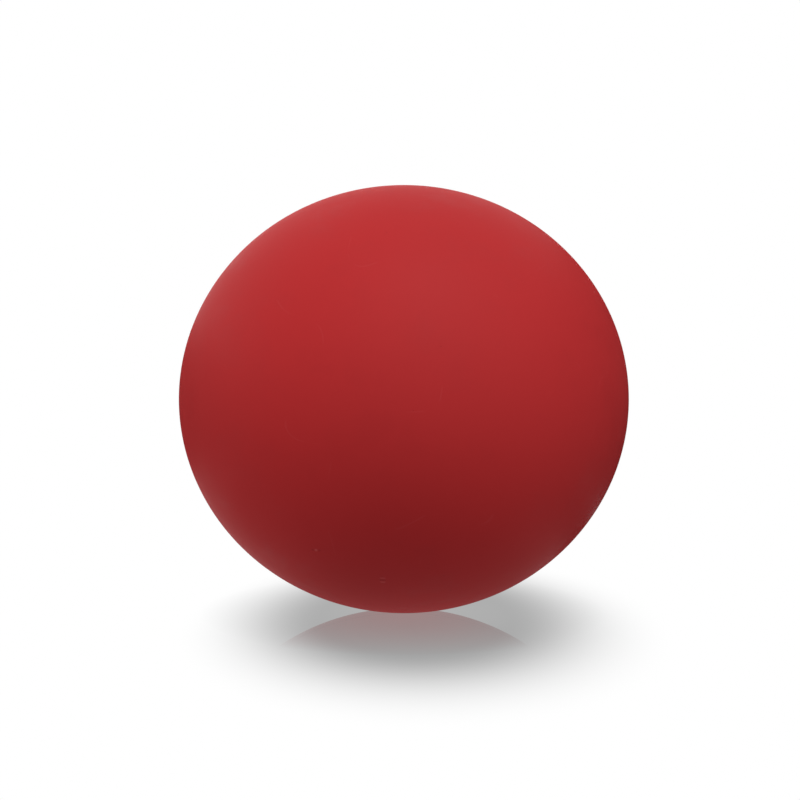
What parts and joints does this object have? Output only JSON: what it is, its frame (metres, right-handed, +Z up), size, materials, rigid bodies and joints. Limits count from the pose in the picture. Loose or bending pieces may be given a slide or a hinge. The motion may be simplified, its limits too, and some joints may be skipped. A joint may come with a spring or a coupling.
{
  "type": "massage ball",
  "caption": "Smooth satin red massage ball, slightly wider than tall: a soft cover of cemented rubber cups over a hard hollow core, for rolling out tight muscles.",
  "frame": {"origin": "centre of the small flat on which the ball stands", "axes": "+Z up through the ball's centre, along its shortest size; the cover's seam faces -Y and +Y, and the picture looks along +Y"},
  "size_m": [0.065, 0.0652, 0.0617],
  "materials": {
    "cover_rubber": "satin, fine moulded grain",
    "core_plastic": "as moulded, matte"
  },
  "bodies": {
    "root": {"cover_front": "cover_rubber", "cover_rear": "cover_rubber", "core_upper": "core_plastic", "core_lower": "core_plastic"}
  },
  "joints": []
}
